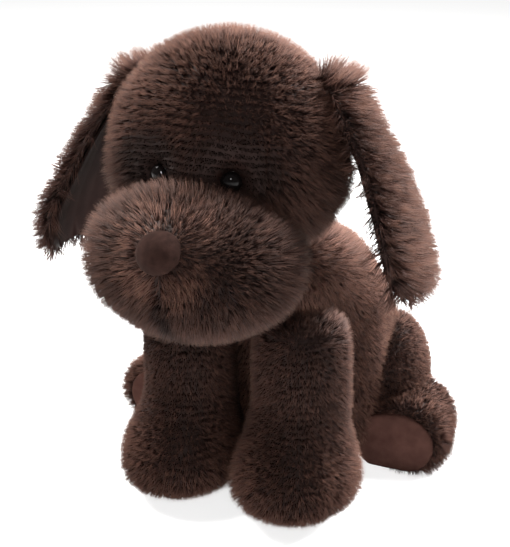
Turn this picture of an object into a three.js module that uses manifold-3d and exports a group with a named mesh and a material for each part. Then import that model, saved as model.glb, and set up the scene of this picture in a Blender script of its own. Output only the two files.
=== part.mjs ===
// A seated plush dog, long-eared and long-piled, in millimetres. It faces -Y, +Z is up, +X is its
// own left, and the origin is on the surface that it sits on, under the middle of its outline.
// Each solid is the fabric skin or the stuffing under it: the pile stands proud of the skins.
import * as THREE from "three";
import { mergeVertices } from "three/addons/utils/BufferGeometryUtils.js";
import Module from "manifold-3d";

const wasm = await Module();
wasm.setup();

// ---- driving dimensions ----

const GAP = 0.35; // air between pieces that touch on the real toy
const FABRIC = 2.2; // backing and the dense root of the pile
const SHIFT_Y = -7.2; // brings the middle of the outline over the origin

// Torso: height, then the centre line's y, half width and half depth of the skin at that height.
const TORSO_STATIONS = [
  [0, 50, 42, 36],
  [9, 51, 53, 46],
  [28, 52, 59, 50],
  [55, 49, 60, 49],
  [80, 41, 58, 45],
  [100, 31, 54, 43],
  [116, 18, 49, 40],
  [128, 5, 42, 35],
  [137, -6, 32, 27],
];
const TORSO_FLANK = 54; // the sides are pressed flat where the haunches lie
const TORSO_MESH = { sides: 24, levels: 10 };
const BASE_OPENING = [39.8, 33.8]; // half sizes of the oval under the torso
const BASE_THICK = 2;
const BELLY_HALF = 20; // half the width of the belly gusset
const PELLET_BAG = { y: 50, z: 9, radii: [34, 27, 20] };
// The stitch runs over a span of the torso, counted as shares of the way up its stations.
const STITCH = { diameter: 0.9, reach: 2.2, count: 12, from: 0.42, span: 0.3 };

// Head: an ellipsoid, with a wide crown gusset between two cheeks.
const HEAD_CENTRE = [0, -38, 189.5];
const HEAD_RADII = [50, 41, 46];
const CROWN_HALF = 31;
const NECK_TURN = [0, -20]; // the vertical line that the head turns about
const NECK_BALL = { z: 152, radius: 14, clear: 0.65 };
const NECK_STEM = { radius: 10, rise: 0.5 }; // the stem starts a little over the torso

const MUZZLE_CENTRE = [0, -74, 146.5];
const MUZZLE_RADII = [42, 33.5, 29.5];
const NOSE_CENTRE = [0, -101, 159.5];
const NOSE_RADII = [9.4, 8.6, 8.7];
const NOSE_CLOTH = 1.2;

const EYE = { x: 16.8, y: -73.5, z: 182.5, radius: 4.8, dome: 3.6, shank: 1.7, length: 13 };
const EYE_BACK = 1.2; // how deep the bead's own back lies in the head
const EYE_TURN_DOWN = -2; // the eyes look a little lower than straight out of the head
const WASHER = { radius: 6.5, thick: 1.6, depth: 7.5 };

// Ear: its middle line from the seam on the head down to the tip, and half its width on the way.
const EAR_LINE = [
  [38.5, 218],
  [45, 219.5],
  [51.5, 213],
  [61, 194],
  [74.5, 163],
  [86.5, 133],
];
const EAR_HALF_WIDTHS = [12, 15, 19.5, 26, 31, 17];
const EAR_Y = -25;
const EAR_DROP_Y = -11; // how far forward the tip hangs of the root
const EAR_FLARE = 0.07; // radians that the front edge stands off the head
const EAR_CUP = 4; // how far the edges curl in towards the head
const EAR_OUTER = 3;
const EAR_LINING = 1.4;
const LINING_INSET = 0.86; // width of the lining over the width of the ear
const LINING_SPAN = [0.16, 0.97]; // shares of the ear's length where the lining starts and ends

// Front leg: height, the centre's x and y, and the two half widths.
const FRONT_STATIONS = [
  [3.2, 31.6, -29.5, 16, 18.5],
  [8, 31.6, -29.5, 22, 25],
  [16, 31.6, -29.5, 26.8, 30],
  [25, 31.6, -29, 27, 29.5],
  [34, 31.6, -27, 24.4, 26],
  [44, 32, -24, 22.4, 22],
  [60, 32.8, -21.5, 21.6, 19.4],
  [85, 32.8, -22.5, 21.4, 18.2],
  [98, 32, -23, 18.4, 15.4],
  [107, 31, -23, 9.5, 8],
];
const FRONT_SOLE = { thick: 2.8, halfX: 13.5, halfY: 15.5 };

// Hind leg: a domed haunch with a flat inner side, and a stubby foot that points forwards.
const HIP = { x: 54.8, y: 60.5, z: 38.5 };
const HAUNCH_RADII = [19, 31, 36];
const FOOT = { x: 71.5, z: 20.6, radius: 20.6, front: 28.4, back: 62 };
const HIND_SOLE = { thick: 2.6, radius: 19 };

// Tail: a ball-rooted blunt cone that turns in a pocket at the lower back.
const TAIL_BALL = { y: 100.5, z: 34, radius: 11.5, clear: 1 };
const TAIL_TIP = [0, 124, 50];
const TAIL_STATIONS = [
  [-11.5, 1.5],
  [-9, 7],
  [-5, 10.2],
  [0, 11.4],
  [6, 10],
  [13, 9.4],
  [21, 6.6],
  [26.5, 2.5],
];

const COLOURS = {
  pile: { color: 0x4a342d, roughness: 0.95, metalness: 0 },
  velour: { color: 0x54382f, roughness: 0.8, metalness: 0 },
  stuffing: { color: 0xe9e6df, roughness: 1, metalness: 0 },
  pellets: { color: 0xd8d2c4, roughness: 0.9, metalness: 0 },
  plastic: { color: 0x0b0a0a, roughness: 0.08, metalness: 0 },
  washer: { color: 0xe4e2dc, roughness: 0.5, metalness: 0 },
  thread: { color: 0x2b1d19, roughness: 0.8, metalness: 0 },
};

// ---- solids ----

function solidOf(geometry) {
  const bare = geometry.clone();
  bare.deleteAttribute("normal");
  bare.deleteAttribute("uv");
  const merged = mergeVertices(bare, 1e-4);
  return new wasm.Manifold(
    new wasm.Mesh({
      numProp: 3,
      vertProperties: new Float32Array(merged.attributes.position.array),
      triVerts: new Uint32Array(merged.index.array),
    }),
  );
}

function geometryOf(solid) {
  const mesh = solid.getMesh();
  const positions = new Float32Array(mesh.numVert * 3);
  for (let i = 0; i < mesh.numVert; i++) {
    const start = i * mesh.numProp;
    positions.set(mesh.vertProperties.subarray(start, start + 3), i * 3);
  }
  const indexed = new THREE.BufferGeometry();
  indexed.setAttribute("position", new THREE.BufferAttribute(positions, 3));
  indexed.setIndex(new THREE.BufferAttribute(new Uint32Array(mesh.triVerts), 1));
  const geometry = indexed.toNonIndexed();
  geometry.computeVertexNormals();
  return geometry;
}

function ellipsoid(centre, radii, around = 28, down = 16) {
  const geometry = new THREE.SphereGeometry(1, around, down);
  geometry.rotateX(Math.PI / 2);
  geometry.scale(...radii);
  geometry.translate(...centre);
  return solidOf(geometry);
}

function box(low, high) {
  const geometry = new THREE.BoxGeometry(high[0] - low[0], high[1] - low[1], high[2] - low[2]);
  geometry.translate((low[0] + high[0]) / 2, (low[1] + high[1]) / 2, (low[2] + high[2]) / 2);
  return solidOf(geometry);
}

// A slab from x = low to x = high whose outline is a polygon of [y, z] points.
function slabAcrossX(outline, low, high) {
  const shape = new THREE.Shape(outline.map(([y, z]) => new THREE.Vector2(y, z)));
  const geometry = new THREE.ExtrudeGeometry(shape, { depth: high - low, bevelEnabled: false });
  geometry.applyMatrix4(
    new THREE.Matrix4().set(0, 0, 1, low, 1, 0, 0, 0, 0, 1, 0, 0, 0, 0, 0, 1),
  );
  return solidOf(geometry);
}

// A closed skin over rings of points that all have the same number of points.
function loft(rings) {
  const count = rings[0].length;
  const points = rings.flat();
  const faces = [];
  for (let ring = 0; ring + 1 < rings.length; ring++) {
    for (let i = 0; i < count; i++) {
      const a = ring * count + i;
      const b = ring * count + ((i + 1) % count);
      faces.push(a, b, b + count, a, b + count, a + count);
    }
  }
  const last = (rings.length - 1) * count;
  for (const [start, turned] of [[0, true], [last, false]]) {
    const middle = new THREE.Vector3();
    for (let i = 0; i < count; i++) middle.add(points[start + i]);
    points.push(middle.divideScalar(count));
    for (let i = 0; i < count; i++) {
      const pair = [start + i, start + ((i + 1) % count)];
      if (turned) pair.reverse();
      faces.push(...pair, points.length - 1);
    }
  }
  const geometry = new THREE.BufferGeometry();
  geometry.setAttribute(
    "position",
    new THREE.Float32BufferAttribute(points.flatMap((p) => [p.x, p.y, p.z]), 3),
  );
  geometry.setIndex(faces);
  return solidOf(geometry);
}

function ovalRing(x, y, z, halfX, halfY, sides) {
  return Array.from({ length: sides }, (_, i) => {
    const angle = (i / sides) * 2 * Math.PI;
    return new THREE.Vector3(x + halfX * Math.cos(angle), y + halfY * Math.sin(angle), z);
  });
}

// A smooth value along a list of numbers, with u from 0 to 1.
function smooth(values, u) {
  const curve = new THREE.CatmullRomCurve3(values.map((v, i) => new THREE.Vector3(i, v, 0)));
  return curve.getPoint(u).y;
}

// ---- materials and nodes ----

const materials = Object.fromEntries(
  Object.entries(COLOURS).map(([name, look]) => [name, new THREE.MeshStandardMaterial(look)]),
);
const dog = new THREE.Group();
const body = new THREE.Group(); // every piece is drawn in this group, whose y is shifted
body.position.y = SHIFT_Y;
dog.add(body);

function piece(name, material, solid) {
  const mesh = new THREE.Mesh(geometryOf(solid), materials[material]);
  mesh.name = name;
  body.add(mesh);
}

const SIDES = [
  ["left", 1],
  ["right", -1],
];

// The solid on the dog's left as it is, or its mirror image on the right.
function onSide(solid, side) {
  return side > 0 ? solid : solid.mirror([1, 0, 0]);
}

const FAR = 400;

// The half of space on one side of the middle plane, kept clear of it by half a gap.
function halfSpace(side) {
  const low = side > 0 ? GAP / 2 : -FAR;
  const high = side > 0 ? FAR : -GAP / 2;
  return box([low, -FAR, -FAR], [high, FAR, FAR]);
}

// ---- torso ----

// The torso drawn in by an amount all round, over the heights from low to high.
function torsoForm(inset, low, high) {
  const { sides, levels } = TORSO_MESH;
  const heights = TORSO_STATIONS.map((s) => s[0]);
  const rings = [];
  for (let level = 0; level <= levels; level++) {
    const u = level / levels;
    const centreY = smooth(TORSO_STATIONS.map((s) => s[1]), u);
    const halfX = smooth(TORSO_STATIONS.map((s) => s[2]), u) - inset;
    const halfY = smooth(TORSO_STATIONS.map((s) => s[3]), u) - inset;
    rings.push(ovalRing(0, centreY, smooth(heights, u), halfX, halfY, sides));
  }
  const flank = TORSO_FLANK - inset;
  return loft(rings).intersect(box([-flank, -FAR, low], [flank, FAR, high]));
}

const TORSO_TOP = TORSO_STATIONS.at(-1)[0];
const torsoOuter = torsoForm(0, 0, TORSO_TOP);
const torsoInner = torsoForm(FABRIC, -1, TORSO_TOP - FABRIC);

// An upright oval disc in the opening under the torso.
const baseOval = (shrink, low, high) => {
  const rings = [low, high].map((z) =>
    ovalRing(
      0,
      TORSO_STATIONS[0][1],
      z,
      BASE_OPENING[0] - shrink,
      BASE_OPENING[1] - shrink,
      TORSO_MESH.sides,
    ),
  );
  return loft(rings);
};
const torsoCavity = torsoInner.add(baseOval(0, -1, 1));
// The tail's root turns in a round pocket.
const tailPocket = ellipsoid(
  [0, TAIL_BALL.y, TAIL_BALL.z],
  [1, 1, 1].map(() => TAIL_BALL.radius + TAIL_BALL.clear),
  18,
  10,
);
const torsoSkin = torsoOuter.subtract(torsoCavity).subtract(tailPocket);
// The belly gusset runs up the front, ahead of a leaning plane.
const bellySide = (grow) =>
  slabAcrossX(
    [
      [-FAR, 4 - grow],
      [50 + grow, 4 - grow],
      [-10 + grow, TORSO_TOP + 4],
      [-FAR, TORSO_TOP + 4],
    ],
    -BELLY_HALF - grow,
    BELLY_HALF + grow,
  );
piece("torso_belly", "pile", torsoSkin.intersect(bellySide(0)));
for (const [side, sign] of SIDES) {
  const panel = torsoSkin.subtract(bellySide(GAP)).intersect(halfSpace(sign));
  piece("torso_side_" + side, "pile", panel);
}
piece("torso_base", "pile", baseOval(GAP, 0, BASE_THICK));

const bagFloor = BASE_THICK + GAP;
const bagForm = (grow) =>
  ellipsoid(
    [0, PELLET_BAG.y, PELLET_BAG.z],
    PELLET_BAG.radii.map((r) => r + grow),
    18,
    8,
  );
piece(
  "pellet_bag",
  "pellets",
  bagForm(0).intersect(box([-FAR, -FAR, bagFloor], [FAR, FAR, FAR])),
);
const stuffingTop = TORSO_TOP - FABRIC - GAP;
piece(
  "torso_filling",
  "stuffing",
  torsoForm(FABRIC + GAP, bagFloor, stuffingTop).subtract(bagForm(GAP)).subtract(tailPocket),
);

// The closing stitch zigzags over the back seam, just clear of the pile's backing.
const stitchPoints = [];
for (let i = 0; i <= STITCH.count; i++) {
  const u = STITCH.from + STITCH.span * (i / STITCH.count);
  const backY =
    smooth(TORSO_STATIONS.map((s) => s[1]), u) + smooth(TORSO_STATIONS.map((s) => s[3]), u);
  const height = smooth(TORSO_STATIONS.map((s) => s[0]), u);
  const across = i % 2 ? STITCH.reach : -STITCH.reach;
  stitchPoints.push(new THREE.Vector3(across, backY + GAP + STITCH.diameter, height));
}
const stitchSection = new THREE.Shape().absarc(0, 0, STITCH.diameter / 2, 0, 2 * Math.PI);
piece(
  "closing_stitch",
  "thread",
  solidOf(
    new THREE.ExtrudeGeometry(stitchSection, {
      steps: STITCH.count * 2,
      curveSegments: 3,
      bevelEnabled: false,
      extrudePath: new THREE.CatmullRomCurve3(stitchPoints, false, "catmullrom", 0.2),
    }),
  ),
);

// ---- neck ----

const neckBall = (grow) =>
  ellipsoid(
    [...NECK_TURN, NECK_BALL.z],
    [1, 1, 1].map(() => NECK_BALL.radius + grow),
    16,
    10,
  );
const neckStem = loft(
  [TORSO_TOP, NECK_BALL.z].map((z) =>
    ovalRing(...NECK_TURN, z, NECK_STEM.radius, NECK_STEM.radius, 16),
  ),
);
const overTorso = box([-FAR, -FAR, TORSO_TOP + NECK_STEM.rise], [FAR, FAR, FAR]);
piece("neck_filling", "stuffing", neckBall(0).add(neckStem).intersect(overTorso));

// ---- head ----

const headForm = (inset) =>
  ellipsoid(
    HEAD_CENTRE,
    HEAD_RADII.map((r) => r - inset),
    24,
    14,
  );
const neckSocket = neckBall(NECK_BALL.clear);

// The crown gusset covers the face and the top, and narrows to nothing at the nape.
const crownSide = (grow) =>
  slabAcrossX(
    [
      [-FAR, 160 - grow],
      [-50, 170 - grow],
      [0 + grow, 150],
      [FAR, 150],
      [FAR, FAR],
      [-FAR, FAR],
    ],
    -CROWN_HALF - grow,
    CROWN_HALF + grow,
  );

const eyeAxis = new THREE.Vector3(EYE.x, EYE.y, EYE.z)
  .sub(new THREE.Vector3(...HEAD_CENTRE))
  .setZ(EYE_TURN_DOWN)
  .normalize();

// A turned piece on the left eye's axis: profile points are [radius, distance out of the skin].
function turnedOnEye(profile, around = 12) {
  const geometry = new THREE.LatheGeometry(
    profile.map(([r, out]) => new THREE.Vector2(r, out)),
    around,
  );
  geometry.applyQuaternion(
    new THREE.Quaternion().setFromUnitVectors(new THREE.Vector3(0, 1, 0), eyeAxis),
  );
  geometry.translate(EYE.x, EYE.y, EYE.z);
  return solidOf(geometry);
}

const DOME_STEPS = 6;
const domeProfile = Array.from({ length: DOME_STEPS }, (_, i) => {
  const angle = (i / DOME_STEPS) * (Math.PI / 2);
  return [EYE.radius * Math.cos(angle), EYE.dome * Math.sin(angle)];
});
domeProfile.push([0, EYE.dome]);
const eyeBead = turnedOnEye([
  [0, -EYE.length],
  [EYE.shank, -EYE.length],
  [EYE.shank, -EYE_BACK],
  [EYE.radius * 0.9, -EYE_BACK * 0.7],
  ...domeProfile,
]);
const eyeHole = turnedOnEye([
  [0, -EYE.length - GAP],
  [EYE.shank + GAP, -EYE.length - GAP],
  [EYE.shank + GAP, -WASHER.depth - WASHER.thick - GAP],
  [WASHER.radius + GAP, -WASHER.depth - WASHER.thick - GAP],
  [WASHER.radius + GAP, -WASHER.depth + GAP],
  [EYE.shank + GAP, -WASHER.depth + GAP],
  [EYE.shank + GAP, -EYE_BACK - GAP],
  [EYE.radius + GAP, -EYE_BACK - GAP],
  [EYE.radius + GAP, EYE.length],
  [0, EYE.length],
]);
const washer = turnedOnEye([
  [EYE.shank + GAP, -WASHER.depth - WASHER.thick],
  [WASHER.radius, -WASHER.depth - WASHER.thick],
  [WASHER.radius, -WASHER.depth],
  [EYE.shank + GAP, -WASHER.depth],
  [EYE.shank + GAP, -WASHER.depth - WASHER.thick],
]);
for (const [side, sign] of SIDES) {
  piece("eye_" + side, "plastic", onSide(eyeBead, sign));
  piece("eye_washer_" + side, "washer", onSide(washer, sign));
}

const headHollows = eyeHole.add(onSide(eyeHole, -1)).add(neckSocket);
const headSkin = headForm(0).subtract(headForm(FABRIC)).subtract(headHollows);
piece("head_crown", "pile", headSkin.intersect(crownSide(0)));
for (const [side, sign] of SIDES) {
  const panel = headSkin.subtract(crownSide(GAP)).intersect(halfSpace(sign));
  piece("head_cheek_" + side, "pile", panel);
}
piece("head_filling", "stuffing", headForm(FABRIC + GAP).subtract(headHollows));

// ---- muzzle and nose ----

const muzzleForm = (inset) =>
  ellipsoid(
    MUZZLE_CENTRE,
    MUZZLE_RADII.map((r) => r - inset),
    22,
    12,
  );
const noseForm = (inset) =>
  ellipsoid(
    NOSE_CENTRE,
    NOSE_RADII.map((r) => r - inset),
    16,
    9,
  );
const headOuter = headForm(-GAP);
piece(
  "muzzle_cover",
  "pile",
  muzzleForm(0).subtract(muzzleForm(FABRIC)).subtract(headOuter),
);
piece("muzzle_filling", "stuffing", muzzleForm(FABRIC + GAP).subtract(headOuter));
const muzzleOuter = muzzleForm(-GAP);
piece(
  "nose_cover",
  "velour",
  noseForm(0).subtract(noseForm(NOSE_CLOTH)).subtract(muzzleOuter),
);
piece("nose_filling", "stuffing", noseForm(NOSE_CLOTH + GAP).subtract(muzzleOuter));

// ---- ears ----

const earLine = new THREE.CatmullRomCurve3(
  EAR_LINE.map(([x, z], i) => {
    const down = i / (EAR_LINE.length - 1);
    return new THREE.Vector3(x, EAR_Y + EAR_DROP_Y * down, z);
  }),
);

// One layer of the left ear, from one height over the middle sheet to another.
function earLayer(inner, outer, widthShare, from, to) {
  const levels = 8;
  const across = 6;
  const rings = [];
  for (let level = 0; level <= levels; level++) {
    const u = from + (to - from) * (level / levels);
    const middle = earLine.getPointAt(u);
    const along = earLine.getTangentAt(u);
    const wide = new THREE.Vector3(-Math.sin(EAR_FLARE), Math.cos(EAR_FLARE), 0);
    const out = new THREE.Vector3().crossVectors(along, wide).normalize();
    const half = smooth(EAR_HALF_WIDTHS, u) * widthShare;
    const place = (share, height) =>
      middle
        .clone()
        .addScaledVector(wide, share * half)
        .addScaledVector(out, height - EAR_CUP * share * share * Math.min(1, 4 * u));
    const ring = [];
    for (let i = 0; i < across; i++) ring.push(place((2 * i) / (across - 1) - 1, inner));
    for (let i = across - 1; i >= 0; i--) ring.push(place((2 * i) / (across - 1) - 1, outer));
    rings.push(ring);
  }
  return loft(rings);
}
const headClear = headForm(-1);
const earOuter = earLayer(GAP / 2, EAR_OUTER, 1, 0, 1).subtract(headClear);
const earLining = earLayer(-EAR_LINING, -GAP / 2, LINING_INSET, ...LINING_SPAN).subtract(headClear);
for (const [side, sign] of SIDES) {
  piece("ear_outer_" + side, "pile", onSide(earOuter, sign));
  piece("ear_lining_" + side, "velour", onSide(earLining, sign));
}

// ---- front legs ----

function frontLegForm(inset, low) {
  const levels = 9;
  const rings = [];
  for (let level = 0; level <= levels; level++) {
    const u = level / levels;
    const [height, x, y, halfX, halfY] = [0, 1, 2, 3, 4].map((column) =>
      smooth(FRONT_STATIONS.map((s) => s[column]), u),
    );
    const drop = level === levels ? inset : 0;
    const start = level === 0 ? low : height - drop;
    rings.push(ovalRing(x, y, start, halfX - inset, halfY - inset, 16));
  }
  return loft(rings);
}
const frontLow = FRONT_STATIONS[0][0];
const frontSkin = frontLegForm(0, frontLow).subtract(frontLegForm(FABRIC, frontLow - 1));
const frontFilling = frontLegForm(FABRIC + GAP, frontLow);
const [, soleX, soleY] = FRONT_STATIONS[0];
const frontSole = loft([
  ovalRing(soleX, soleY, 0, FRONT_SOLE.halfX, FRONT_SOLE.halfY, 16),
  ovalRing(soleX, soleY, FRONT_SOLE.thick, FRONT_SOLE.halfX + 1, FRONT_SOLE.halfY + 1, 16),
]);
for (const [side, sign] of SIDES) {
  piece("front_leg_cover_" + side, "pile", onSide(frontSkin, sign));
  piece("front_leg_filling_" + side, "stuffing", onSide(frontFilling, sign));
  piece("front_sole_" + side, "velour", onSide(frontSole, sign));
}

// ---- hind legs ----

// A round bar along Y that the foot is made of.
function barAlongY(x, z, radius, front, back, sides = 20) {
  const geometry = new THREE.CylinderGeometry(radius, radius, back - front, sides);
  geometry.translate(x, (front + back) / 2, z);
  return solidOf(geometry);
}

function hindForm(inset, front) {
  const haunch = ellipsoid(
    [HIP.x, HIP.y, HIP.z],
    HAUNCH_RADII.map((r) => r - inset),
    20,
    12,
  );
  const foot = barAlongY(FOOT.x, FOOT.z, FOOT.radius - inset, front, FOOT.back - inset);
  const kept = box([HIP.x + inset, -FAR, inset], [FAR, FAR, FAR]);
  return haunch.add(foot).intersect(kept);
}
const hindSkin = hindForm(0, FOOT.front).subtract(hindForm(FABRIC, FOOT.front - 1));
const hindFilling = hindForm(FABRIC + GAP, FOOT.front);
const hindSole = barAlongY(
  FOOT.x,
  FOOT.z,
  HIND_SOLE.radius,
  FOOT.front - GAP - HIND_SOLE.thick,
  FOOT.front - GAP,
).intersect(box([HIP.x, -FAR, 0], [FAR, FAR, FAR]));
for (const [side, sign] of SIDES) {
  piece("hind_leg_cover_" + side, "pile", onSide(hindSkin, sign));
  piece("hind_leg_filling_" + side, "stuffing", onSide(hindFilling, sign));
  piece("hind_sole_" + side, "velour", onSide(hindSole, sign));
}

// ---- tail ----

// The tail drawn in by an amount all round, from one distance along it to its tip.
function tailForm(inset, from) {
  const ball = new THREE.Vector3(0, TAIL_BALL.y, TAIL_BALL.z);
  const along = new THREE.Vector3(...TAIL_TIP).sub(ball).normalize();
  const across = new THREE.Vector3(1, 0, 0);
  const up = new THREE.Vector3().crossVectors(along, across);
  const sides = 12;
  const kept = TAIL_STATIONS.filter(([distance]) => distance >= from);
  const rings = kept.map(([distance, width], level) => {
    const last = level === kept.length - 1;
    const middle = ball.clone().addScaledVector(along, last ? distance - inset : distance);
    const radius = Math.max(width - inset, 1);
    return Array.from({ length: sides }, (_, i) => {
      const angle = (i / sides) * 2 * Math.PI;
      return middle
        .clone()
        .addScaledVector(across, radius * Math.cos(angle))
        .addScaledVector(up, radius * Math.sin(angle));
    });
  });
  return loft(rings);
}
const TAIL_MOUTH = -9; // the cover is open here, inside the pocket
piece("tail_cover", "pile", tailForm(0, TAIL_MOUTH).subtract(tailForm(FABRIC, TAIL_MOUTH - 5)));
piece("tail_filling", "stuffing", tailForm(FABRIC + GAP, TAIL_MOUTH));

export default dog;
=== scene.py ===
"""A seated plush dog: long-pile covers over soft stuffing, velour soles, ear linings and nose, glossy eyes.

Every soft node of the frame is rebuilt from its own shape: the covers and fillings of one body part are fused
into one smooth skin, the skin is cut back into its sewn panels, and each panel grows its own pile.
Lengths are metres in the row frame; MM turns millimetres into them.
"""

import math

import bpy
import numpy as np
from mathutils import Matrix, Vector, bvhtree, kdtree


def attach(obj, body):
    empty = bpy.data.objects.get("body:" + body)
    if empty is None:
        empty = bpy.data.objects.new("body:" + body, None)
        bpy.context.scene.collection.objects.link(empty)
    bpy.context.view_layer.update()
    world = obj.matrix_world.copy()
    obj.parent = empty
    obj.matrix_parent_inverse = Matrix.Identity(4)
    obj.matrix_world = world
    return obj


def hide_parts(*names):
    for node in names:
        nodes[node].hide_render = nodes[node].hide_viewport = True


MM = 0.001

# Landmarks of the dog, in millimetres
HEAD = np.array([0.0, -45.2, 189.5])
NOSE = np.array([0.0, -108.2, 159.5])
NOSE_REACH = 5.6  # no pile grows nearer the middle of the nose
NOSE_LIFT = np.array([0.0, -5.0, -1.0])  # the stuffed nose stands this far out of the pile round it
NOSE_GROW = 1.16
EYE = np.array([16.8, -80.7, 182.5])
HOLLOW = EYE + [0.0, 1.0, 7.0]  # middle of the dent above each eye
HOLLOW_DEPTH, HOLLOW_REACH = 3.5, 8.5
PAW_Z = 24.0
PAW = np.array([31.6, -36.4, 0.0])
FOOT_AXIS = (71.5, 20.6)  # x and z of the line through each hind foot
FOOT_FRONT = 21.2
FOOT_SPREAD, FOOT_DROP = 5.5, 2.5  # how far the weight of the foot presses it inwards and down
FOOT_SPLAY = 4.0  # the dog's right foot lies this much further out than the left
EAR_TIP = np.array([83.0, -38.0, 134.0])
EAR_SPREAD = 4.6  # how far the stuffed rim of an ear stands out past its frame
SHOULDER = np.array([37.0, -30.0, 110.0])
SHOULDER_RISE, SHOULDER_REACH = 22.0, 26.0  # the torso swells over the top of each front leg

# Pile
PLUMP = 2.2  # extra padding under the pile of the head, body and legs
SPACING = 0.64  # between strand roots
STRAND = 0.19  # radius of a strand at its root
ROOT_DEPTH = 0.4  # roots start this far inside the cloth
LOWEST = 0.05  # nothing goes below this height over the floor
ROW_PITCH = 3.3  # between the combed rows
RUFFLE, TANGLE = 0.28, 0.30  # how much the pile wanders in patches, and from strand to strand

# Cloth
BACKING = 1.3  # thickness of the cloth under the pile
CORE_GAP = 1.6  # the stuffing stays this far under the cover

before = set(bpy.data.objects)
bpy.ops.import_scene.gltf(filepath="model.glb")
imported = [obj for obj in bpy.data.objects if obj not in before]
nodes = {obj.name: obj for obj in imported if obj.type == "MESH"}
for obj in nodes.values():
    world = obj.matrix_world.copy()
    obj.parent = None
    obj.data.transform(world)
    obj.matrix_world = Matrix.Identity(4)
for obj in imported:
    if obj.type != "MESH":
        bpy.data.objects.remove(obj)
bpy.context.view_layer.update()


# ---------------------------------------------------------------- small maths

def unit(v):
    return v / np.maximum(np.linalg.norm(v, axis=-1, keepdims=True), 1e-9)


def step(x, low, high):
    """0 below low, 1 above high, smooth between."""
    t = np.clip((x - low) / (high - low), 0, 1)
    return t * t * (3 - 2 * t)


def wander(p, pitch, seed, parts=7):
    """A smooth random vector for each point, about one unit long, that changes over pitch millimetres."""
    rng = np.random.default_rng(seed)
    out = np.zeros_like(p)
    for _ in range(parts):
        wave = rng.normal(size=3)
        wave *= 2 * math.pi / (pitch * rng.uniform(0.7, 1.7) * np.linalg.norm(wave))
        out += np.sin((p @ wave)[:, None] + rng.uniform(0, 2 * math.pi, 3)) * rng.uniform(0.5, 1, 3)
    return out / math.sqrt(parts)


# ---------------------------------------------------------------- skins

class Skin:
    """One closed surface: vertices and normals in millimetres, and its faces."""

    def __init__(self, verts, normals, faces):
        self.verts, self.normals, self.faces = verts, normals, faces


def node_arrays(name):
    me = nodes[name].data
    verts = np.empty(len(me.vertices) * 3, np.float32)
    me.vertices.foreach_get("co", verts)
    return verts.reshape(-1, 3).astype(float), [tuple(p.vertices) for p in me.polygons]


def fused(names, voxel, smooth):
    """The union of the nodes as one smooth skin."""
    verts, faces, base = [], [], 0
    for name in names:
        v, f = node_arrays(name)
        verts.append(v)
        faces += [tuple(i + base for i in poly) for poly in f]
        base += len(v)
    me = bpy.data.meshes.new("fuse")
    me.from_pydata(np.concatenate(verts).tolist(), [], faces)
    ob = bpy.data.objects.new("fuse", me)
    bpy.context.scene.collection.objects.link(ob)
    remesh = ob.modifiers.new("remesh", "REMESH")
    remesh.mode, remesh.voxel_size = "VOXEL", voxel * MM
    soften = ob.modifiers.new("soften", "SMOOTH")
    soften.factor, soften.iterations = 0.5, smooth
    made = ob.evaluated_get(bpy.context.evaluated_depsgraph_get()).to_mesh()
    count = len(made.vertices)
    v, n = np.empty(count * 3, np.float32), np.empty(count * 3, np.float32)
    made.vertices.foreach_get("co", v)
    made.vertices.foreach_get("normal", n)
    polys = [tuple(p.vertices) for p in made.polygons]
    ob.to_mesh_clear()
    bpy.data.objects.remove(ob)
    bpy.data.meshes.remove(me)
    return largest(v.reshape(-1, 3) / MM, n.reshape(-1, 3).astype(float), polys)


def largest(verts, normals, faces):
    """The biggest connected surface of a mesh, which leaves out what closed inside it."""
    parent = list(range(len(verts)))

    def find(a):
        while parent[a] != a:
            parent[a] = parent[parent[a]]
            a = parent[a]
        return a

    for f in faces:
        root = find(f[0])
        for i in f[1:]:
            parent[find(i)] = root
    roots = np.array([find(i) for i in range(len(verts))])
    labels, counts = np.unique(roots, return_counts=True)
    keep = roots == labels[np.argmax(counts)]
    order = np.cumsum(keep) - 1
    kept = [tuple(int(order[i]) for i in f) for f in faces if keep[f[0]]]
    return Skin(verts[keep], normals[keep], kept)


def shares(skin, covers):
    """For each cover node, the faces of the skin that belong to it."""
    centres = np.array([skin.verts[list(f)].mean(axis=0) for f in skin.faces])
    if len(covers) == 1:
        return {covers[0]: skin.faces}
    gaps = []
    for name in covers:
        v, f = node_arrays(name)
        tree = bvhtree.BVHTree.FromPolygons((v / MM).tolist(), f)
        gaps.append([tree.find_nearest(Vector(c))[3] for c in centres])
    label = np.argmin(np.array(gaps), axis=0)
    sides = {}
    for i, f in enumerate(skin.faces):
        for a, b in zip(f, f[1:] + f[:1]):
            sides.setdefault((min(a, b), max(a, b)), []).append(i)
    pairs = np.array([p for p in sides.values() if len(p) == 2])
    for _ in range(6):  # smooths the seam lines
        votes = np.zeros((len(label), len(covers)))
        votes[np.arange(len(label)), label] += 1.5
        np.add.at(votes, (pairs[:, 0], label[pairs[:, 1]]), 1)
        np.add.at(votes, (pairs[:, 1], label[pairs[:, 0]]), 1)
        label = np.argmax(votes, axis=1)
    return {name: [f for f, at in zip(skin.faces, label) if at == i] for i, name in enumerate(covers)}


def cloth(skin, faces, thick):
    """A closed shell of that thickness under the given faces of the skin."""
    used = sorted({i for f in faces for i in f})
    where = {old: new for new, old in enumerate(used)}
    top = skin.verts[used]
    under = top - skin.normals[used] * thick
    count = len(used)
    outer = [tuple(where[i] for i in f) for f in faces]
    polys = outer + [tuple(i + count for i in reversed(f)) for f in outer]
    edges = {(a, b) for f in outer for a, b in zip(f, f[1:] + f[:1])}
    polys += [(b, a, a + count, b + count) for a, b in edges if (b, a) not in edges]
    polys.sort(key=len)
    return np.concatenate([top, under]), polys


# ---------------------------------------------------------------- pile

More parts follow.
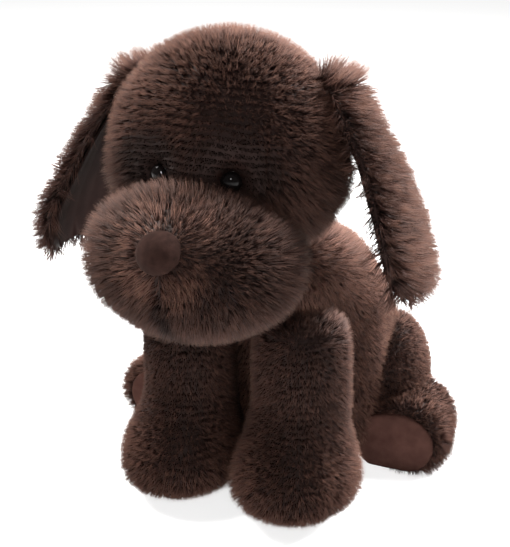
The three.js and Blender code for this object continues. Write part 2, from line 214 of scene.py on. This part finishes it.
def roots(skin, faces, rng, weight=None):
    """Random points on the faces with their normals, one for each SPACING squared."""
    tris = np.array([t for f in faces for t in ((f[0], f[i], f[i + 1]) for i in range(1, len(f) - 1))])
    a, b, c = (skin.verts[tris[:, i]] for i in range(3))
    facing = np.cross(b - a, c - a)
    area = np.linalg.norm(facing, axis=1) / 2
    if weight is not None:
        area = area * weight((a + b + c) / 3, unit(facing))
    count = int(area.sum() / SPACING**2)
    pick = np.sort(rng.choice(len(tris), count, p=area / area.sum()))
    u, v = rng.random(count), rng.random(count)
    flip = u + v > 1
    u[flip], v[flip] = 1 - u[flip], 1 - v[flip]
    w = 1 - u - v
    chosen = tris[pick]
    shares_of = np.stack([w, u, v], axis=1)[..., None]
    return (skin.verts[chosen] * shares_of).sum(axis=1), unit((skin.normals[chosen] * shares_of).sum(axis=1))


def tufts(points, pitch, rng):
    """For each point, the point that leads its tuft. Leaders are about pitch apart."""
    count = max(2, int(len(points) * (SPACING / pitch) ** 2))
    leaders = rng.choice(len(points), min(count, len(points)), replace=False)
    tree = kdtree.KDTree(len(leaders))
    for i, at in enumerate(leaders):
        tree.insert(Vector(points[at]), i)
    tree.balance()
    return leaders[[tree.find(Vector(p))[1] for p in points]]


def pile(points, normals, flow, length, lean, rng, seed, tuft=(1.9, 0.42)):
    """Strands as closed spikes of four vertices, three round the root and a tip, and a shade each.
    flow is where the tips point along the cloth, and lean is how far they lie over, in radians. tuft is the
    spacing of the tufts and how far the tips are drawn together in one."""
    count = len(points)
    along = flow + wander(points, 14, seed) * RUFFLE + rng.normal(size=(count, 3)) * TANGLE
    along = unit(along - normals * (along * normals).sum(axis=1, keepdims=True))
    length = (length * rng.uniform(0.78, 1.12, count))[:, None]
    lean = lean + rng.normal(size=count) * TANGLE * 0.8 + wander(points, 9, seed + 1)[:, 0] * 0.12
    lean = np.abs(np.clip(lean, -1.35, 1.35))[:, None]
    tip = points + (normals * np.cos(lean) + along * np.sin(lean)) * length
    leader = tufts(points, tuft[0], rng)
    target = points[leader] + (tip - points)[leader]
    tip = tip + (target - tip) * tuft[1] * rng.uniform(0.5, 1.2, (count, 1))
    start = points - normals * ROOT_DEPTH
    axis = unit(tip - start)
    side = unit(np.cross(axis, rng.normal(size=(count, 3))))
    other = np.cross(axis, side)
    thick = STRAND * rng.uniform(0.7, 1.3, (count, 1))
    turns = [2 * math.pi * k / 3 for k in range(3)]
    ring = [start + (side * math.cos(turn) + other * math.sin(turn)) * thick for turn in turns]
    verts = np.stack([*ring, tip], axis=1)
    verts[..., 2] = np.maximum(verts[..., 2], LOWEST)
    shade = 0.5 * rng.random(count) + 0.5 * rng.random(count)[leader]
    return verts, shade


SPIKE = np.array([(0, 2, 1), (0, 1, 3), (1, 2, 3), (2, 0, 3)], np.int32)
ALONG = np.array([0.03, 0.03, 0.03, 0.97])  # how far along the spike each of its vertices is
ACROSS = np.array([-1.0, 0.0, 1.0, 0.0])
SHADE_WIDTH = 0.012  # half the width of a strand in its map of shades


def piece(name, body, solid, strands, material, replaces, tone_and_painted_light=1.0):
    """A mesh of one closed solid and its strands, in the scene. The map named OFBake holds each strand's
    shade across, its own random shade times the tone and painted light of its place, and the way from root to
    tip upwards; the solid under the strands takes the root end, whose dark colour is painted shade deep in
    the pile."""
    verts, polys = solid
    sizes = np.array([len(p) for p in polys], np.int32)
    flat = np.concatenate([np.array(p, np.int32) for p in polys])
    uv = np.column_stack([np.full(len(flat), 0.5), np.full(len(flat), 0.05)])
    parts, loops, counts, maps = [verts], [flat], [sizes], [uv]
    if strands is not None:
        strands, shade = strands
        count = len(strands)
        base = len(verts) + 4 * np.arange(count, dtype=np.int32)[:, None]
        shade = np.clip((0.15 + 0.85 * shade) * tone_and_painted_light, SHADE_WIDTH, 1 - SHADE_WIDTH)[:, None]
        corners = SPIKE.ravel()
        loops.append((base + corners[None]).ravel())
        counts.append(np.full(count * len(SPIKE), 3, np.int32))
        across = shade + ACROSS[corners] * SHADE_WIDTH
        upward = np.repeat(ALONG[corners][None], count, axis=0)
        maps.append(np.stack([across, upward], axis=2).reshape(-1, 2))
        parts.append(strands.reshape(-1, 3))
    verts, flat, sizes = np.concatenate(parts), np.concatenate(loops), np.concatenate(counts)
    me = bpy.data.meshes.new(name)
    me.vertices.add(len(verts))
    me.vertices.foreach_set("co", (verts * MM).astype(np.float32).ravel())
    me.loops.add(len(flat))
    me.loops.foreach_set("vertex_index", flat)
    me.polygons.add(len(sizes))
    me.polygons.foreach_set("loop_start", (np.cumsum(sizes) - sizes).astype(np.int32))
    me.update(calc_edges=True)
    me.polygons.foreach_set("use_smooth", np.ones(len(sizes), bool))
    if strands is not None:
        layer = me.uv_layers.new(name="OFBake")
        layer.data.foreach_set("uv", np.concatenate(maps).astype(np.float32).ravel())
    me.materials.append(material)
    ob = bpy.data.objects.new(name, me)
    bpy.context.scene.collection.objects.link(ob)
    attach(ob, body)
    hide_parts(*replaces)
    return ob


# ---------------------------------------------------------------- materials

def shader(name, **values):
    """A new material and its Principled node, with the given inputs set."""
    material = bpy.data.materials.new(name)
    material.use_nodes = True
    tree = material.node_tree
    main = tree.nodes["Principled BSDF"]
    for key, value in values.items():
        main.inputs[key.replace("_", " ")].default_value = value
    return material, tree, main


def ramp(tree, source, stops):
    node = tree.nodes.new("ShaderNodeValToRGB")
    for end, (at, colour) in zip(node.color_ramp.elements, (stops[0], stops[-1])):
        end.position, end.color = at, (*colour, 1)
    for at, colour in stops[1:-1]:
        node.color_ramp.elements.new(at).color = (*colour, 1)
    tree.links.new(source, node.inputs[0])
    return node.outputs["Color"]


def times(tree, a, b):
    node = tree.nodes.new("ShaderNodeMix")
    node.data_type, node.blend_type = "RGBA", "MULTIPLY"
    node.inputs["Factor"].default_value = 1.0
    tree.links.new(a, node.inputs["A"])
    tree.links.new(b, node.inputs["B"])
    return node.outputs["Result"]


def pile_material(name, root, middle, tip, spread):
    """Brown pile that lightens from root to tip, each strand a shade of its own. The dark root end is painted
    shade deep in the pile; the shade across also carries the painted light and shade set for each part.
    """
    material, tree, main = shader(
        name, Roughness=0.6, Specular_IOR_Level=0.12, Sheen_Weight=0.02, Sheen_Roughness=0.4
    )
    main.inputs["Sheen Tint"].default_value = (0.75, 0.6, 0.52, 1)
    place = tree.nodes.new("ShaderNodeUVMap")
    place.uv_map = "OFBake"
    split = tree.nodes.new("ShaderNodeSeparateXYZ")
    tree.links.new(place.outputs[0], split.inputs[0])
    # the dark root colour is painted shade deep in the pile
    down = ramp(tree, split.outputs["Y"], [(0, root), (0.45, middle), (1, tip)])
    light = 1 + spread
    best = (light, light * 1.02, light * 0.98)
    own = ramp(tree, split.outputs["X"], [(0, (0.12,) * 3), (0.2, (0.42,) * 3), (0.5, (1, 1, 1)), (1, best)])
    tree.links.new(times(tree, down, own), main.inputs["Base Color"])
    return material


def velour_material(name, dark, light, pitch):
    """Short-napped velour: brushed patches of lighter and darker nap over a fine grain."""
    material, tree, main = shader(
        name, Roughness=0.9, Specular_IOR_Level=0.04, Sheen_Weight=0.02, Sheen_Roughness=0.35
    )
    main.inputs["Sheen Tint"].default_value = (0.8, 0.6, 0.5, 1)
    where = tree.nodes.new("ShaderNodeTexCoord").outputs["Object"]
    patches = tree.nodes.new("ShaderNodeTexNoise")
    patches.inputs["Scale"].default_value = 1 / (pitch * MM)
    patches.inputs["Detail"].default_value = 6
    grain = tree.nodes.new("ShaderNodeTexNoise")
    grain.inputs["Scale"].default_value = 1 / (0.6 * MM)
    grain.inputs["Detail"].default_value = 3
    for node in (patches, grain):
        tree.links.new(where, node.inputs["Vector"])
    tree.links.new(ramp(tree, patches.outputs[0], [(0.3, dark), (0.72, light)]), main.inputs["Base Color"])
    bump = tree.nodes.new("ShaderNodeBump")
    bump.inputs["Strength"].default_value = 0.5
    bump.inputs["Distance"].default_value = 0.25 * MM
    tree.links.new(grain.outputs[0], bump.inputs["Height"])
    tree.links.new(bump.outputs[0], main.inputs["Normal"])
    return material


def fibre_material(name, dark, light, pitch, roughness):
    """Stuffing, pellets' bag and thread: matt fibre with a soft mottle."""
    material, tree, main = shader(name, Roughness=roughness, Sheen_Weight=0.3)
    noise = tree.nodes.new("ShaderNodeTexNoise")
    noise.inputs["Scale"].default_value = 1 / (pitch * MM)
    noise.inputs["Detail"].default_value = 8
    tree.links.new(tree.nodes.new("ShaderNodeTexCoord").outputs["Object"], noise.inputs["Vector"])
    tree.links.new(ramp(tree, noise.outputs[0], [(0.35, dark), (0.65, light)]), main.inputs["Base Color"])
    return material


# The root colour of each pile, which the backing under the strands also takes, is painted shade deep in the
# pile.
PILE = pile_material(
    "pile_brown", (0.013, 0.0053, 0.0040), (0.046, 0.0190, 0.0142), (0.104, 0.0510, 0.0355), 0.62
)
MUZZLE_PILE = pile_material(
    "muzzle_pile_brown", (0.012, 0.0050, 0.0038), (0.034, 0.0146, 0.0110), (0.080, 0.0405, 0.0295), 1.5
)
VELOUR = velour_material("velour_brown", (0.040, 0.0180, 0.0142), (0.066, 0.0305, 0.0240), 7)
NOSE_VELOUR = velour_material("velour_nose", (0.012, 0.0058, 0.0046), (0.022, 0.0106, 0.0084), 3)
LINING = velour_material("velour_lining", (0.0085, 0.0044, 0.0038), (0.016, 0.0082, 0.0070), 9)
STUFFING = fibre_material("stuffing_white", (0.62, 0.62, 0.60), (0.82, 0.82, 0.80), 3, 0.9)
PELLETS = fibre_material("pellet_cloth", (0.48, 0.47, 0.44), (0.66, 0.65, 0.62), 1.5, 0.8)
THREAD = fibre_material("thread_brown", (0.020, 0.012, 0.010), (0.050, 0.030, 0.025), 0.4, 0.6)
EYE_GLOSS = shader(
    "eye_bead", Base_Color=(0.004, 0.003, 0.003, 1), Roughness=0.05, IOR=1.45, Specular_IOR_Level=0.12
)[0]
WASHER = fibre_material("washer_white", (0.55, 0.55, 0.53), (0.7, 0.7, 0.68), 2, 0.45)


# ---------------------------------------------------------------- how the pile lies on each part

def head_rows(p):
    """Which combed row of the crown each point is in, with its place across the row after the point."""
    return (p[:, 2] + 0.25 * (p[:, 1] - HEAD[1]) + wander(p, 26, 5)[:, 0] * 1.3) / ROW_PITCH


def crown_front(p):
    """1 on the front of the crown, 0 behind and below it."""
    sides = step(np.abs(p[:, 0]), 34, 48)
    return step(HEAD[1] - p[:, 1], -30, 5) * step(p[:, 2], 176, 186) * (1 - 0.6 * sides)


def level_rows(p):
    """The same as head_rows for the level rows of the body and legs."""
    return (p[:, 2] + wander(p, 30, 8)[:, 0] * 1.2) / ROW_PITCH


def drawn(p, n, rows, share):
    """The roots drawn part of the way up or down the cloth to the middle of their row."""
    up = unit([0, 0, 1] - n * n[:, 2:])
    return p - up * ((rows - np.round(rows)) * ROW_PITCH * share)[:, None]


def comb_head(p, n):
    return drawn(p, n, head_rows(p), 0.36 * crown_front(p))


def comb_level(p, n):
    return drawn(p, n, level_rows(p), 0.22 * (np.abs(n[:, 2]) < 0.7))


def lie_head(p, n):
    d = p - HEAD
    flow = np.column_stack([d[:, 0] * 0.02, d[:, 1] * 0.012, np.full(len(p), -0.85)])
    front = crown_front(p)
    rows = 0.5 + 0.5 * np.cos(2 * math.pi * head_rows(p))
    cheek = step(np.abs(d[:, 0]), 18, 40) * step(-p[:, 2], -200, -175)
    flow[:, 0] += np.sign(d[:, 0]) * cheek * 0.5
    length = 9.2 - front * 1.4 + cheek * 4.5 + 1.5 * step(d[:, 2], 30, 44)
    lean = 0.3 + front * 0.08 + cheek * 0.1
    # Painted light: the pile is lighter towards the top of the head, as if lit from above. Painted shade: it
    # is darker in the grooves between the combed rows on the front of the crown.
    tone_and_painted_light = 0.6 + 0.4 * step(d[:, 2], -10, 38) - 0.16 * front * (1 - rows)
    for side in (1, -1):
        eye = np.linalg.norm(p - EYE * [side, 1, 1], axis=1)
        # Painted shade: in the dent above each eye the pile is painted darker as well as made shorter.
        hollow = 1 - step(np.linalg.norm((p - HOLLOW * [side, 1, 1]) * [0.75, 1, 1], axis=1), 7, 19)
        length = length * (1 - 0.4 * hollow) * (0.8 + 0.2 * step(eye, 5, 9))
        tone_and_painted_light = tone_and_painted_light * (1 - 0.85 * hollow)
    return flow, length, lean, tone_and_painted_light


def off_nose(p, n):
    """0 where the nose is sewn on, 1 elsewhere."""
    return (np.linalg.norm((p - NOSE) * [1, 0.6, 1], axis=1) > NOSE_REACH).astype(float)


def lie_muzzle(p, n):
    d = p - NOSE
    gap = np.linalg.norm(d, axis=1)
    burst = 1 - step(gap, 13, 27)  # the pile lies flat in a ring round the nose and stands beyond it
    flow = unit(d) * (0.9 + 0.8 * burst)[:, None]
    below = step(-d[:, 2], 4, 10) * (1 - step(np.abs(p[:, 0]), 3, 10)) * step(-p[:, 1], 88, 96)
    flow[:, 0] += np.sign(p[:, 0]) * below * 1.2
    brow = step(d[:, 2], 12, 24)
    length = 9.0 - 3.0 * (1 - step(gap, 8, 12)) + 2.5 * step(np.abs(p[:, 0]), 24, 44) + 4.0 * brow
    lean = 0.24 + 0.8 * burst
    length += 2.0 * step(-p[:, 0], 16, 36)
    parting = below * (1 - step(np.abs(p[:, 0]), 1, 4))
    # The ring round the nose has lighter hair. The extra lightening under the nose is painted light on an
    # underside the lamps leave dim.
    tone_and_painted_light = 0.75 + 0.35 * burst + 0.9 * burst * step(-d[:, 2], 5, 11) - 0.5 * parting
    return flow, length, lean, tone_and_painted_light


def off_lining(p, n):
    """0 where the lining covers the ear, 1 elsewhere."""
    bare = np.ones(len(p))
    for side in ("left", "right"):
        v, f = node_arrays(f"ear_lining_{side}")
        tree = bvhtree.BVHTree.FromPolygons((v / MM).tolist(), f)
        spread = np.column_stack([np.sign(p[:, 0]) * EAR_SPREAD * 0.7, np.zeros((len(p), 2))])
        near = [tree.find_nearest(Vector(c)) for c in p - spread]
        away = ((p - np.array([found[0] for found in near])) * n).sum(axis=1)
        bare[(np.array([found[3] for found in near]) < 3.0) & (away < 0.2)] = 0
    return bare


def lie_ear(p, n):
    side = np.sign(p[:, :1])
    tip = EAR_TIP * np.column_stack([side, np.ones_like(side), np.ones_like(side)])
    flow = unit(tip - p) * 0.9
    flow[:, 2] -= 0.4
    flow[:, 1] += (p[:, 1] + 34) * 0.03
    edge = step(-p[:, 2], -160, -135)
    rim = 1 - step(n[:, 0] * side[:, 0], 0.1, 0.7)
    root = step(p[:, 2], 200, 214)
    flow[:, 0] += side[:, 0] * (root * 0.8 - rim * 0.2)
    flow[:, 2] += root * 0.9
    return flow, 10.5 + 2.0 * edge + 2.0 * root + 2.0 * rim, 0.55 - 0.1 * edge, 0.84 + 0.25 * root


def thin_base(p, n):
    """The pile is worn thin under the torso, where it sits."""
    return np.where(n[:, 2] > -0.85, 1.0, 0.3)


def lie_torso(p, n):
    flow = np.column_stack([p[:, 0] * 0.004, p[:, 1] * 0.002, np.full(len(p), -1.0)])
    rows = 0.5 + 0.5 * np.cos(2 * math.pi * level_rows(p))
    top = step(p[:, 2], 112, 128)
    # Painted shade: the pile is darker in the grooves between the level rows.
    return flow, 7.2 + 0.8 * rows + 4.0 * top, 0.4 - 0.1 * top, 1.0 + 0.1 * rows


def off_paw_sole(p, n):
    """0 over the sole of a front paw, 1 elsewhere."""
    v = node_arrays("front_sole_left")[0] / MM
    middle, half = (v.max(axis=0) + v.min(axis=0)) / 2, (v.max(axis=0) - v.min(axis=0)) / 2
    away = np.hypot((np.abs(p[:, 0]) - middle[0]) / half[0], (p[:, 1] - middle[1]) / half[1])
    return ((away > 0.88) | (p[:, 2] > v[:, 2].max() + 6)).astype(float)


def lie_front_leg(p, n):
    centre = PAW * np.column_stack([np.sign(p[:, 0]), np.ones(len(p)), np.ones(len(p))])
    out = unit((p - centre) * [1, 1, 0])
    paw = 1 - step(p[:, 2], PAW_Z, PAW_Z + 30)
    flow = np.column_stack([out[:, 0] * paw, out[:, 1] * paw, -1.0 + 0.3 * paw])
    under = 0.35 + 0.65 * step(p[:, 2], 2, 18)
    outer = step(-p[:, 0], 36, 48) * (1 - paw)
    top = step(p[:, 2], 90, 104)
    flow[:, 1] += top * 1.4
    flow[:, 2] += top * 1.2
    rows = 0.5 + 0.5 * np.cos(2 * math.pi * level_rows(p))
    length = (7.6 + 1.8 * paw - 2.6 * outer + 1.5 * top) * under * (0.9 + 0.1 * rows)
    # Painted shade: the pile is darker at the top of the leg, under the head and muzzle, and in the grooves
    # between the rows. It is also lighter towards the paw.
    return flow, length, 0.4, (0.66 + 0.36 * paw - 0.1 * top) * (0.9 + 0.1 * rows)


def off_foot_sole(p, n):
    """0 behind the sole of a hind foot and on the flat side of the haunch, 1 elsewhere."""
    name = "hind_sole_left" if p[:, 0].mean() > 0 else "hind_sole_right"
    v = settle(Skin(node_arrays(name)[0] / MM, None, None)).verts
    middle, half = (v.max(axis=0) + v.min(axis=0)) / 2, (v.max(axis=0) - v.min(axis=0)) / 2
    away = np.hypot((p[:, 0] - middle[0]) / half[0], (p[:, 2] - middle[2]) / half[2])
    sole = (n[:, 1] < -0.5) & (away < 0.9) & (p[:, 1] < middle[1] + 10)
    return (~sole & (n[:, 0] * np.sign(p[:, 0]) > -0.9)).astype(float)


def lie_hind_leg(p, n):
    front = 1 - step(p[:, 1], FOOT_FRONT + 6, FOOT_FRONT + 30)
    axis = np.column_stack([np.sign(p[:, 0]) * FOOT_AXIS[0], p[:, 1], np.full(len(p), FOOT_AXIS[1])])
    out = unit(p - axis)
    rim = 1 - step(p[:, 1], FOOT_FRONT + 1, FOOT_FRONT + 10)
    up = out[:, 2] * 0.6 * rim - 0.9 + 0.9 * front
    flow = np.column_stack([out[:, 0] * (0.3 + 0.6 * rim), -0.2 - 0.9 * front, up])
    inner = 1 - step(np.abs(p[:, 0]), 58, 72)
    high = step(p[:, 2], 28, 40)
    length = (7.0 + 3.0 * front - 1.5 * high * front) * (1 - 0.6 * rim * inner * (1 - high))
    return flow, length, 0.5, 0.95


def lie_tail(p, n):
    flow = np.tile([0.0, 0.9, 0.4], (len(p), 1))
    return flow, np.full(len(p), 7.5), np.full(len(p), 0.55), 1.0


# ---------------------------------------------------------------- building the parts

def shallow(skin):
    """Dents the skin above each eye."""
    for side in (1, -1):
        gap = np.linalg.norm(skin.verts - HOLLOW * [side, 1, 1], axis=1)
        skin.verts -= skin.normals * (HOLLOW_DEPTH * np.exp(-((gap / HOLLOW_REACH) ** 2)))[:, None]
    return skin


def swell(skin):
    """The torso swells over the top of each front leg."""
    for side in (1, -1):
        away = skin.verts - SHOULDER * [side, 1, 1]
        rise = SHOULDER_RISE * np.exp(-((np.linalg.norm(away, axis=1) / SHOULDER_REACH) ** 2))
        skin.verts += rise[:, None] * unit(np.array([side * 0.35, -1.0, 0.1]))
    return skin


def slim(skin):
    """The outer side of a front leg is drawn in above the paw."""
    z = skin.verts[:, 2]
    side = np.sign(skin.verts[:, 0])
    outer = step(np.abs(skin.verts[:, 0]), PAW[0], PAW[0] + 16)
    skin.verts[:, 0] -= side * 3.0 * outer * step(z, 34, 56) * (1 - step(z, 82, 104))
    return skin


def spread_ear(skin):
    """The rim of an ear stands out, most of all over its lower half."""
    z = skin.verts[:, 2]
    low = (1 - step(z, 186, 214)) * (0.35 + 0.65 * step(z, 134, 162))
    skin.verts[:, 0] += np.sign(skin.verts[:, 0]) * EAR_SPREAD * (0.2 + 0.8 * low)
    return skin


def plump(skin):
    """Thickens the padding, except round the eyes, behind the hind soles and near the floor."""
    p = skin.verts
    share = step(p[:, 2], 3, 14)
    for side in (1, -1):
        share = share * step(np.linalg.norm(p - EYE * [side, 1, 1], axis=1), 6, 11)
    foot = step(np.abs(p[:, 0]), 48, 56) * (1 - step(p[:, 2], 45, 60))
    front = (1 - step(p[:, 1], FOOT_FRONT + 2, FOOT_FRONT + 12)) * step(-skin.normals[:, 1], 0.2, 0.6)
    share = share * (1 - foot * front)
    skin.verts = p + skin.normals * (PLUMP * share)[:, None]
    return skin


def raise_nose(skin):
    """The stuffed nose stands out of the pile round it."""
    skin.verts = NOSE + (skin.verts - NOSE) * NOSE_GROW + NOSE_LIFT
    return skin


def settle(skin):
    """The front of a hind foot is pressed flat and wide where it rests on the floor."""
    x, y, z = skin.verts.T
    front = (1 - step(y, FOOT_FRONT + 10, FOOT_FRONT + 35)) * (1 - step(z, 38, 52))
    inner = step(FOOT_AXIS[0] - np.abs(x), -10, 17)
    skin.verts[:, 0] -= np.sign(x) * FOOT_SPREAD * inner * front
    skin.verts[:, 0] -= FOOT_SPLAY * front * (x < 0)
    drop = FOOT_DROP + 0.08 * z + 3.0 * inner * (1 - step(z, 6, 30))
    skin.verts[:, 2] = np.maximum(z - front * drop, 0.5)
    return skin


def core(name, body, material, lumps, seed, change=None):
    """The filling of one part: a lumpy closed body under its cover."""
    skin = fused([name], 3.0, 8)
    if change:
        skin = change(skin)
    skin.verts -= skin.normals * (CORE_GAP + lumps * (0.5 + 0.5 * wander(skin.verts, 12, seed)[:, :1]))
    skin.verts[:, 2] = np.maximum(skin.verts[:, 2], 1.0)
    ob = piece(name + "_core", body, (skin.verts, skin.faces), None, material, [name])
    return ob


def furred(
    covers, fillings, body, voxel, lie, seed, special=None, weight=None, change=None, drawn_to_rows=None,
    smooth=8, plumped=True, tuft=(1.9, 0.42)
):
    """The covers of one part as panels with their pile, each standing for its own cover node. special gives
    the lie and material of a cover that differs from the others, and a slot name that is not used."""
    skin = fused(covers + fillings, voxel, smooth)
    if change:
        skin = change(skin)
    if plumped:
        skin = plump(skin)
    for i, (name, faces) in enumerate(shares(skin, covers).items()):
        rng = np.random.default_rng(seed * 100 + i)
        points, normals = roots(skin, faces, rng, weight)
        if drawn_to_rows:
            points = drawn_to_rows(points, normals)
        own_lie, material, slot = (special or {}).get(name, (lie, PILE, "pile"))
        flow, length, lean, tone_and_painted_light = own_lie(points, normals)
        strands = pile(points, normals, flow, length - PLUMP * plumped, lean, rng, seed * 10 + i, tuft)
        solid = cloth(skin, faces, BACKING)
        ob = piece(name.replace("_cover", "") + "_plush", body, solid, strands, material, [name], tone_and_painted_light)


def velour(name, body, material, voxel, smooth, covers, change):
    """A smooth velour piece made of the named nodes together."""
    skin = change(fused(covers, voxel, smooth))
    ob = piece(name + "_velour", body, (skin.verts, skin.faces), None, material, covers)


def same(skin):
    return skin


def coat(name, material):
    """Gives a carried-over node that material."""
    nodes[name].data.materials.clear()
    nodes[name].data.materials.append(material)


furred(
    ["head_crown", "head_cheek_left", "head_cheek_right", "muzzle_cover"],
    ["head_filling", "muzzle_filling"],
    "head", 2.0, lie_head, 1,
    special={"muzzle_cover": (lie_muzzle, MUZZLE_PILE, "muzzle_pile")},
    weight=off_nose, change=shallow, drawn_to_rows=comb_head,
)
furred(
    ["torso_belly", "torso_side_left", "torso_side_right", "torso_base"],
    ["torso_filling", "pellet_bag"],
    "torso", 2.4, lie_torso, 2,
    weight=thin_base, change=swell, drawn_to_rows=comb_level,
)
for number, side in enumerate(("left", "right")):
    front_leg, hind_leg, ear = f"front_leg_{side}", f"hind_leg_{side}", f"ear_{side}"
    furred(
        [f"front_leg_cover_{side}"], [f"front_leg_filling_{side}"],
        front_leg, 1.8, lie_front_leg, 10 + number,
        weight=off_paw_sole, change=slim, drawn_to_rows=comb_level,
    )
    furred(
        [f"hind_leg_cover_{side}"], [f"hind_leg_filling_{side}"],
        hind_leg, 1.8, lie_hind_leg, 20 + number,
        weight=off_foot_sole, change=settle, drawn_to_rows=comb_level,
    )
    furred(
        [f"ear_outer_{side}"], [], ear, 1.1, lie_ear, 30 + number,
        weight=off_lining, change=spread_ear, smooth=4, plumped=False, tuft=(2.8, 0.55),
    )
    velour(f"ear_lining_{side}", ear, LINING, 0.7, 3, [f"ear_lining_{side}"], spread_ear)
    velour(f"front_sole_{side}", front_leg, VELOUR, 0.9, 3, [f"front_sole_{side}"], same)
    velour(f"hind_sole_{side}", hind_leg, VELOUR, 0.9, 3, [f"hind_sole_{side}"], settle)
    core(f"front_leg_filling_{side}", front_leg, STUFFING, 0.8, 70 + number, slim)
    core(f"hind_leg_filling_{side}", hind_leg, STUFFING, 0.8, 80 + number, settle)
    eye = fused([f"eye_{side}"], 0.4, 3)
    piece(f"eye_{side}_bead", "head", (eye.verts, eye.faces), None, EYE_GLOSS, [f"eye_{side}"])
    coat(f"eye_washer_{side}", WASHER)
furred(["tail_cover"], ["tail_filling"], "tail", 1.8, lie_tail, 3)
velour("nose", "head", NOSE_VELOUR, 0.7, 6, ["nose_cover", "nose_filling"], raise_nose)
core("head_filling", "head", STUFFING, 0.8, 90)
core("muzzle_filling", "head", STUFFING, 0.8, 91)
core("torso_filling", "torso", STUFFING, 0.8, 92)
core("tail_filling", "tail", STUFFING, 0.8, 93)
core("pellet_bag", "torso", PELLETS, 0.4, 96)

neck = fused(["neck_filling"], 1.6, 6)
rng = np.random.default_rng(7)
points, normals = roots(neck, neck.faces, rng)
flow = np.tile([0.0, 0.0, -1.0], (len(points), 1))
strands = pile(points, normals, flow, np.full(len(points), 5.0), np.full(len(points), 0.9), rng, 7)
plug = piece("neck_plug", "neck", (neck.verts, neck.faces), strands, PILE, ["neck_filling"])
coat("closing_stitch", THREAD)


# ---------------------------------------------------------------- studio

def lamp(name, place, aim, size, power, colour=(1, 1, 1)):
    data = bpy.data.lights.new(name, "AREA")
    data.shape, data.size, data.energy, data.color = "DISK", size, power, colour
    ob = bpy.data.objects.new(name, data)
    ob.location = place
    ob.rotation_mode = "QUATERNION"
    ob.rotation_quaternion = (Vector(aim) - Vector(place)).to_track_quat("-Z", "Y")
    bpy.context.scene.collection.objects.link(ob)


FLOOR_HALF = 6.0
corners = [(x * FLOOR_HALF, y * FLOOR_HALF, 0) for x, y in ((-1, -1), (1, -1), (1, 1), (-1, 1))]
me = bpy.data.meshes.new("floor")
me.from_pydata(corners, [], [(0, 1, 2, 3)])
me.materials.append(
    shader(
        "floor_white", Base_Color=(0.62, 0.62, 0.62, 1), Roughness=0.9, Specular_IOR_Level=0.1,
        Emission_Color=(1, 1, 1, 1), Emission_Strength=0.74,
    )[0]
)
floor = bpy.data.objects.new("floor", me)
bpy.context.scene.collection.objects.link(floor)

world = bpy.data.worlds.new("studio")
world.use_nodes = True
world.node_tree.nodes["Background"].inputs["Color"].default_value = (1, 1, 1, 1)
world.node_tree.nodes["Background"].inputs["Strength"].default_value = 0.22
bpy.context.scene.world = world
bpy.context.scene.view_settings.view_transform = "Standard"
lamp("key", (-0.85, -0.10, 1.25), (0, 0, 0.12), 0.6, 62, (1.0, 0.98, 0.95))
lamp("side", (0.80, 0.70, 0.95), (0, 0, 0.12), 0.7, 100)
lamp("front", (0.45, -1.1, 0.8), (0, 0, 0.15), 0.1, 4.5)

TURN, RISE, DISTANCE = math.radians(22.4), math.radians(20.2), 0.5
TARGET = Vector((-2.31, -8.15, 114.4)) * MM
back = Vector((math.sin(TURN) * math.cos(RISE), -math.cos(TURN) * math.cos(RISE), math.sin(RISE)))
camera_data = bpy.data.cameras.new("camera")
camera_data.lens, camera_data.sensor_width = 63.98, 36
camera_data.clip_start, camera_data.clip_end = 0.05, 30
camera = bpy.data.objects.new("camera", camera_data)
camera.location = TARGET + back * DISTANCE
camera.rotation_mode = "QUATERNION"
camera.rotation_quaternion = (-back).to_track_quat("-Z", "Y")
bpy.context.scene.collection.objects.link(camera)
bpy.context.scene.camera = camera
